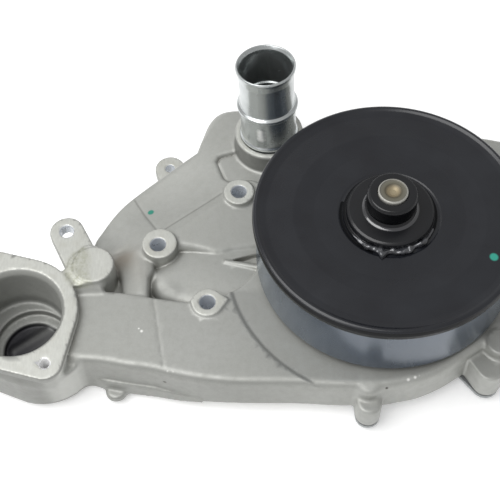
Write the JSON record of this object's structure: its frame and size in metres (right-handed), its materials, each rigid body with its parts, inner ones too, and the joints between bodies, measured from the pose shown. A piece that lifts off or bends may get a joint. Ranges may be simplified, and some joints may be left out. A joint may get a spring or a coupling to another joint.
{
  "type": "engine coolant pump",
  "caption": "Cast aluminium engine water pump with a flat-belt pulley, hose neck, thermostat flange and two rear ports.",
  "frame": {"origin": "centre of the bounding box on the plane of the rear port faces, which the pump lies on", "axes": "+Z along the shaft towards the pulley hub, +X from the thermostat housing towards the far port, +Y towards the hose neck"},
  "size_m": [0.4152, 0.229, 0.1087],
  "materials": {
    "cast_aluminium": "as-cast, fine blasted skin with milled faces",
    "stamped_steel": "satin",
    "zinc_plated_steel": "bright zinc plate",
    "black_paint": "satin black electrocoat",
    "shaft_steel": "ground",
    "bearing_steel": "polished",
    "spring_steel": "drawn wire",
    "gasket_rubber": "coated sheet",
    "rubber": "matte",
    "cage_polymer": "moulded",
    "brass": "satin",
    "carbon": "lapped carbon",
    "ceramic": "lapped ceramic"
  },
  "bodies": {
    "housing_body": {"pump_housing": "cast_aluminium", "rear_cover": "stamped_steel", "rear_cover_gasket": "gasket_rubber", "hose_neck_tube": "zinc_plated_steel", "weep_hole_screen": "brass", "bearing_outer_race": "bearing_steel", "bearing_front_seal": "rubber", "bearing_rear_seal": "rubber", "seal_cup": "brass", "seal_bellows": "rubber", "seal_spring": "spring_steel", "seal_carbon_ring": "carbon", "cover_screw_1": "zinc_plated_steel", "cover_screw_2": "zinc_plated_steel", "cover_screw_3": "zinc_plated_steel", "cover_screw_4": "zinc_plated_steel", "cover_screw_5": "zinc_plated_steel", "cover_screw_6": "zinc_plated_steel", "cover_screw_7": "zinc_plated_steel", "cover_screw_8": "zinc_plated_steel", "cover_screw_9": "zinc_plated_steel"},
    "rotor": {"pulley": "black_paint", "pulley_hub": "black_paint", "pump_shaft": "shaft_steel", "impeller": "stamped_steel", "slinger": "rubber", "seal_mating_ring": "ceramic"},
    "ball_set": {"ball_cage": "cage_polymer", "bearing_ball_1": "bearing_steel", "bearing_ball_2": "bearing_steel", "bearing_ball_3": "bearing_steel", "bearing_ball_4": "bearing_steel", "bearing_ball_5": "bearing_steel", "bearing_ball_6": "bearing_steel", "bearing_ball_7": "bearing_steel", "bearing_ball_8": "bearing_steel"},
    "roller_set": {"roller_cage": "cage_polymer", "bearing_roller_1": "bearing_steel", "bearing_roller_2": "bearing_steel", "bearing_roller_3": "bearing_steel", "bearing_roller_4": "bearing_steel", "bearing_roller_5": "bearing_steel", "bearing_roller_6": "bearing_steel", "bearing_roller_7": "bearing_steel", "bearing_roller_8": "bearing_steel"}
  },
  "joints": [
    {"name": "shaft_spin", "type": "hinge", "parent": "housing_body", "child": "rotor", "pos_m": [0.0536, -0.01555, 0.05], "axis": [0, 0, 1], "continuous": true},
    {"name": "ball_set_spin", "type": "hinge", "parent": "housing_body", "child": "ball_set", "pos_m": [0.0536, -0.01555, 0.0665], "axis": [0, 0, 1], "continuous": true},
    {"name": "roller_set_spin", "type": "hinge", "parent": "housing_body", "child": "roller_set", "pos_m": [0.0536, -0.01555, 0.049], "axis": [0, 0, 1], "continuous": true}
  ],
  "couplings": [
    {"joint": "ball_set_spin", "follows": "shaft_spin", "ratio": 0.3653},
    {"joint": "roller_set_spin", "follows": "shaft_spin", "ratio": 0.3653}
  ]
}
